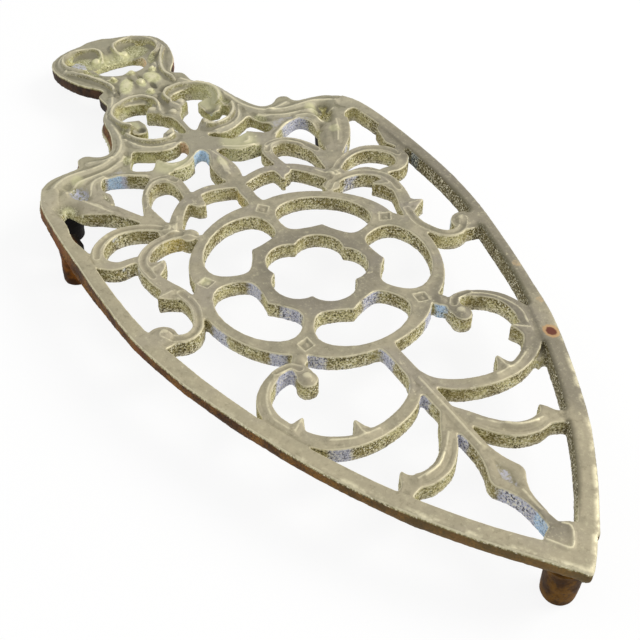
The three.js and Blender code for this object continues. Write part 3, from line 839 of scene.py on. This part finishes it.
below_top = stored("below_top")
from_wall = stored("from_wall")
from_outline = stored("from_outline")
from_crest = stored("from_crest")
sunk = stored("sunk")
proud = stored("proud")
is_top = tilt.rise(0.3, 0.75) * below_top.rise(2.4, 1.4)
is_under = (0 - tilt).rise(0.5, 0.9)
is_outer = from_outline.rise(0.9, 0.4) * below_top.rise(0.5, 1.0)
behind = place_x.rise(-0.026, -0.046)
broad = speckle(mix, place, 16, 2, 0.5, 1)
patchy = speckle(mix, place, 5, 4, 0.6, 2)
fine = speckle(mix, place, 0.8, 3, 0.7, 3)
gritty = speckle(mix, place, 0.5, 2, 0.8, 4)
coarse = speckle(mix, place, 1.3, 4, 0.75, 6)
grit_kept = speckle(mix, place, 7, 2, 0.5, 9).rise(0.36, 0.6) * 0.4 + 0.6 - behind * 0.3
# The far rim's inner side, where the finish paints shade.
far_inner_shade = from_outline.rise(5.8, 5) * place_y.rise(0.004, 0.01) * place_x.rise(-0.04, 0)

# The top: dull grey brass, dark in its hollows, rubbed pale along its edges and crests, with a painted
# highlight along the rim towards the tip and painted shade on the far rim's shoulder.
top_colour = patchy.rise(0.35, 0.65).blend(paint(144, 138, 118), paint(164, 156, 133))
top_colour = broad.rise(0.5, 0.65).blend(top_colour, paint(150, 143, 128))
top_colour = (place_x.rise(0.02, 0.12) * 0.5).blend(top_colour, paint(166, 156, 130))
top_colour = (place_y.rise(-0.02, -0.04) * 0.4).blend(top_colour, paint(180, 170, 140))
top_colour = (stored("dull").rise(0.1, 0.8) * 0.7).blend(top_colour, paint(122, 116, 102))
top_colour = (behind * 0.3).blend(top_colour, paint(184, 180, 158))
top_colour = (coarse.rise(0.52, 0.7) * 0.5).blend(top_colour, paint(190, 184, 154))
top_colour = (coarse.rise(0.48, 0.3) * 0.5).blend(top_colour, paint(118, 111, 86))
top_colour = (fine.rise(0.56, 0.76) * 0.4).blend(top_colour, paint(206, 200, 172))
# Darker where sunk: patina in the hollows, and painted shade on the far shoulder.
top_colour = (sunk.rise(0.1, 0.8) * 0.5).blend(top_colour, paint(112, 108, 78))
hollow_glint = coarse.rise(0.4, 0.6).blend(paint(150, 148, 98), paint(196, 194, 150))
top_colour = (sunk.rise(0.5, 0.95) * behind * 0.8).blend(top_colour, hollow_glint)
top_colour = (gritty.rise(0.54, 0.6) * sunk.rise(0.4, 0.9) * 0.5).blend(top_colour, paint(232, 228, 206))
top_colour = (gritty.rise(0.47, 0.41) * sunk.rise(0.4, 0.9) * 0.5).blend(top_colour, paint(66, 60, 44))
leaf_glint = coarse.rise(0.35, 0.6).blend(paint(176, 174, 128), paint(212, 210, 166))
top_colour = (stored("leafy").rise(0.25, 0.7) * 0.8).blend(top_colour, leaf_glint)
top_colour = (proud.rise(-0.02, -0.09) * (behind * 0.15 + 0.2)).blend(top_colour, paint(84, 80, 58))
top_colour = (stored("dark").rise(0.2, 0.7) * 0.6).blend(top_colour, paint(70, 66, 52))
flakes = speckle(mix, place, 1.7, 3, 0.65, 7).rise(0.63, 0.69) * broad.rise(0.4, 0.6)
top_colour = (flakes * 0.5).blend(top_colour, paint(214, 206, 172))
edge_line = from_wall.rise(0.42, 0.2) * below_top.rise(0.6, 0.3) * tilt.rise(0.93, 0.82)
crest_line = from_crest.rise(0.5, 0.15) * proud.rise(0.0, 0.03) * is_top
# Painted highlight: a pale band along the outer edge of the top, towards the tip.
rim_tip_highlight = from_outline.rise(1.6, 0.5) * speckle(mix, place, 5, 4, 0.6, 8).rise(0.44, 0.6)
rim_tip_highlight = rim_tip_highlight * below_top.rise(0.6, 0.2) * place_x.rise(0.02, 0.1)
# Pale wear on edges and crests, with the rim's painted highlight added to it.
wear_and_highlight = mix.maths("MAXIMUM", edge_line * 0.75, crest_line * 0.8)
wear_and_highlight = wear_and_highlight * speckle(mix, place, 3, 3, 0.6, 5).rise(0.28, 0.5)
wear_and_highlight = mix.maths("MAXIMUM", wear_and_highlight * (1 - far_inner_shade), rim_tip_highlight)
wear_and_highlight_colour = paint(220, 212, 180)

# The walls: yellow brown, speckled, darker under the edge and paler below, with stains, and painted shade on
# the far rim's inner wall.
wall_colour = patchy.rise(0.4, 0.6).blend(paint(152, 140, 86), paint(200, 192, 140))
heel_wall = patchy.rise(0.4, 0.6).blend(paint(150, 142, 84), paint(190, 186, 128))
wall_colour = behind.blend(wall_colour, heel_wall)
wall_colour = (below_top.rise(1.8, 0.6) * 0.5).blend(wall_colour, paint(112, 102, 62))
wall_colour = (below_top.rise(2.6, 4.4) * 0.5).blend(wall_colour, paint(204, 198, 186))
blotch = speckle(mix, place, 6, 2, 0.5, 12)
wall_colour = (blotch.rise(0.54, 0.66) * 0.5).blend(wall_colour, paint(216, 208, 156))
wall_colour = (blotch.rise(0.46, 0.36) * 0.45).blend(wall_colour, paint(104, 94, 56))
wall_colour = (stored("ochre").rise(0, 0.9) * 0.7).blend(wall_colour, paint(204, 182, 96))
wall_colour = (stored("copper").rise(0, 0.9) * 0.8).blend(wall_colour, paint(238, 200, 160))
ragged = (patchy - 0.5) * 1.1 + (coarse - 0.5) * 1.3 + (gritty - 0.5) * 0.8
wall_colour = ((stored("pale") + ragged).rise(0.1, 0.6) * 0.7).blend(wall_colour, paint(206, 204, 156))
lilac = (stored("lilac") + ragged).rise(0.22, 0.75)
turquoise = (stored("turquoise") + ragged).rise(0.2, 0.7)
wall_colour = (lilac * 0.85).blend(wall_colour, paint(196, 200, 226))
wall_colour = (turquoise * (coarse.rise(0.34, 0.52) * 0.4 + 0.5)).blend(wall_colour, paint(188, 220, 252))
# Painted shade: the far rim's inner wall is painted dark brown.
wall_colour = (far_inner_shade * 0.85).blend(wall_colour, paint(92, 82, 46))
wall_colour = (gritty.rise(0.54, 0.6) * grit_kept).blend(wall_colour, paint(238, 233, 210))
wall_colour = (gritty.rise(0.47, 0.41) * grit_kept).blend(wall_colour, paint(50, 43, 28))

# The outside of the rim and handle: the brown skin of the casting, painted dark as shade too, nearly black at
# the handle, brown along the rim, and olive to the tip.
outer_skin_and_shade = patchy.rise(0.4, 0.62).blend(paint(76, 44, 8), paint(128, 86, 28))
outer_skin_and_shade = (gritty.rise(0.54, 0.4) * 0.75).blend(outer_skin_and_shade, paint(34, 20, 4))
outer_skin_and_shade = (broad.rise(0.5, 0.62) * 0.6).blend(outer_skin_and_shade, paint(112, 60, 14))
outer_skin_and_shade = (place_x.rise(0.05, 0.12) * 0.5).blend(outer_skin_and_shade, paint(110, 96, 56))
# Painted shade: the outer walls of the handle are painted nearly black.
handle_wall_shade = patchy.rise(0.4, 0.6).blend(paint(22, 14, 8), paint(66, 44, 28))
outer_skin_and_shade = (place_x.rise(-0.062, -0.08) * 0.85).blend(outer_skin_and_shade, handle_wall_shade)
outer_skin_and_shade = (stored("copper").rise(0.1, 0.8) * 0.45).blend(outer_skin_and_shade, paint(150, 100, 75))

colour = is_outer.blend(wall_colour, outer_skin_and_shade)
colour = is_top.blend(colour, top_colour)
# Painted shade: the top of the far rim's sloping shoulder is painted dark olive.
far_shoulder_shade = far_inner_shade * from_wall.rise(1.5, 0.2) * from_outline.rise(1.0, 1.8)
colour = (far_shoulder_shade * is_top * 0.5).blend(colour, paint(78, 72, 48))
lilac_on_top = lilac * is_top * sunk.rise(0.2, 0.7) * coarse.rise(0.38, 0.58)
colour = (lilac_on_top * 0.75).blend(colour, paint(188, 190, 214))
colour = (stored("pale").rise(0.2, 0.8) * is_top * 0.45).blend(colour, paint(204, 202, 158))
colour = (wear_and_highlight * 0.85).blend(colour, wear_and_highlight_colour)
colour = (stored("peach").rise(0.2, 0.6) * coarse.rise(0.4, 0.6) * 0.5).blend(colour, paint(196, 168, 126))
colour = (stored("rust").rise(0.12, 0.3) * 0.7).blend(colour, paint(190, 150, 102))
colour = stored("rust").rise(0.45, 0.7).blend(colour, paint(104, 58, 44))
colour = (is_under * 0.8).blend(colour, paint(96, 80, 52))
feed(brass_shader, "Base Color", colour)
feed(brass_shader, "Metallic", is_top * 0.3 + 0.15)
brass_shader.inputs["Specular IOR Level"].default_value = 0.35
feed(brass_shader, "Roughness", 0.8 - is_top * 0.16 + (coarse - 0.5) * 0.3 - wear_and_highlight * 0.12)
relief = gritty * (1 - is_top) + (coarse + fine * 0.4) * is_top * 0.6
bump = mix.node("ShaderNodeBump", {}, {"Height": relief, "Distance": 0.00014, "Strength": 0.6})
feed(brass_shader, "Normal", bump)
shape.materials.clear()
shape.materials.append(brass)
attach(casting, "root")
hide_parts("plate")


# The legs
# Four round pegs, cast rough and dark; the two at the heel are painted nearly black as shade under the
# casting, and the one at the side is painted black as shade on its inner side.
# Three have a tenon in the casting, that of the tip going right through, and the straight one at the side is
# brazed on.
steps_round = 56
step_up = 0.25
fillet_reach = 1.6  # how far below the casting the brazing spreads on the peg
dent_depth = 0.24
pit_depth = 0.06
turned_off = 0.12  # taken off all over, to make up for the bumps between the dents


def leg_profile(node):
    """The peg's middle, and its radius at each height from the floor to the casting, in mm."""
    low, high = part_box(node)
    middle = (low + high) / 2 / mm
    spots = np.array([v.co for v in frame["nodes"][node].data.vertices]) / mm
    radii = np.hypot(spots[:, 0] - middle.x, spots[:, 1] - middle.y)
    below = spots[:, 2] < underside + 0.01
    heights = np.unique(np.round(spots[below, 2], 2))
    widest = [radii[below & (np.abs(spots[:, 2] - z) < 0.01)].max() for z in heights]
    return middle, heights, widest


def rough_peg(name, node, dark, light, seed, sunk_in, fillet, inner_side=10):
    """A peg that reaches sunk_in into the casting and is dressed flat at inner_side from its middle."""
    middle, heights, widest = leg_profile(node)
    levels = np.append(np.arange(0, underside + sunk_in, step_up), underside + sunk_in)
    corners = [(middle.x, middle.y, 0)]
    for z in levels:
        brazing = fillet * max(0, 1 - abs(underside - z) / fillet_reach) ** 2
        radius = np.interp(z, heights, widest) + brazing
        for turn in np.arange(steps_round) * 2 * math.pi / steps_round:
            spot = Vector((middle.x + radius * math.cos(turn), middle.y + radius * math.sin(turn), z))
            dent = dent_depth * noise.noise(spot / 5 + Vector((seed, 0, 0)))
            dent += pit_depth * noise.noise(spot / 1.3)
            dent -= turned_off
            y = min(spot.y + dent * math.sin(turn), middle.y + inner_side)
            corners.append((spot.x + dent * math.cos(turn), y, z))
    corners.append((middle.x, middle.y, levels[-1]))
    last = len(corners) - 1
    faces = []
    for k in range(steps_round):
        after = (k + 1) % steps_round
        faces.append((0, 1 + after, 1 + k))
        faces.append((last, last - steps_round + k, last - steps_round + after))
        for ring in range(len(levels) - 1):
            start = 1 + ring * steps_round
            faces.append((start + k, start + after, start + steps_round + after, start + steps_round + k))
    peg_mesh = bpy.data.meshes.new(name)
    peg_mesh.from_pydata([[c * mm for c in corner] for corner in corners], [], faces)
    peg_mesh.shade_smooth()
    peg = bpy.data.objects.new(name, peg_mesh)
    bpy.context.scene.collection.objects.link(peg)

    skin, skin_shader = new_material(name + "_skin")
    skin_mix = Mix(skin)
    spot = skin_mix.node("ShaderNodeTexCoord", {}, {}, "Object")
    blotches = speckle(skin_mix, spot, 3.6, 4, 0.6, seed)
    pits = speckle(skin_mix, spot, 0.7, 3, 0.7, seed + 1)
    peg_colour = blotches.rise(0.38, 0.62).blend(paint(*dark), paint(*light))
    peg_colour = (pits.rise(0.46, 0.34) * 0.6).blend(peg_colour, paint(*[c * 0.4 for c in dark]))
    if node == "side_leg":
        # Painted shade: the peg's inner side, under the rim, is painted nearly black.
        across = skin_mix.node("ShaderNodeSeparateXYZ", {}, {"Vector": spot}, "Y")
        shade_from = (middle.y + 0.4) * mm
        peg_colour = across.rise(shade_from, shade_from + 1.2 * mm).blend(peg_colour, paint(16, 10, 6))
    feed(skin_shader, "Base Color", peg_colour)
    skin_shader.inputs["Metallic"].default_value = 0.1
    skin_shader.inputs["Specular IOR Level"].default_value = 0.12
    feed(skin_shader, "Roughness", pits * 0.3 + 0.5)
    bump = skin_mix.node("ShaderNodeBump", {}, {"Height": pits, "Distance": 0.0002, "Strength": 0.6})
    feed(skin_shader, "Normal", bump)
    peg_mesh.materials.append(skin)
    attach(peg, "root")
    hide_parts(node)


rough_peg("peg_under_tip", "tip_leg", dark=(58, 34, 4), light=(104, 70, 16), seed=3, sunk_in=1.6, fillet=0.7)
# The two heel pegs are painted nearly black as shade under the casting.
rough_peg("peg_under_left_heel", "heel_leg_left", dark=(6, 4, 2), light=(14, 8, 5), seed=11, sunk_in=0.6,
          fillet=0)
rough_peg("peg_under_right_heel", "heel_leg_right", dark=(6, 4, 2), light=(14, 8, 5), seed=19, sunk_in=0.6,
          fillet=0)
rough_peg("peg_at_side", "side_leg", dark=(54, 28, 2), light=(116, 68, 12), seed=27, sunk_in=0.3, fillet=0,
          inner_side=2.4)
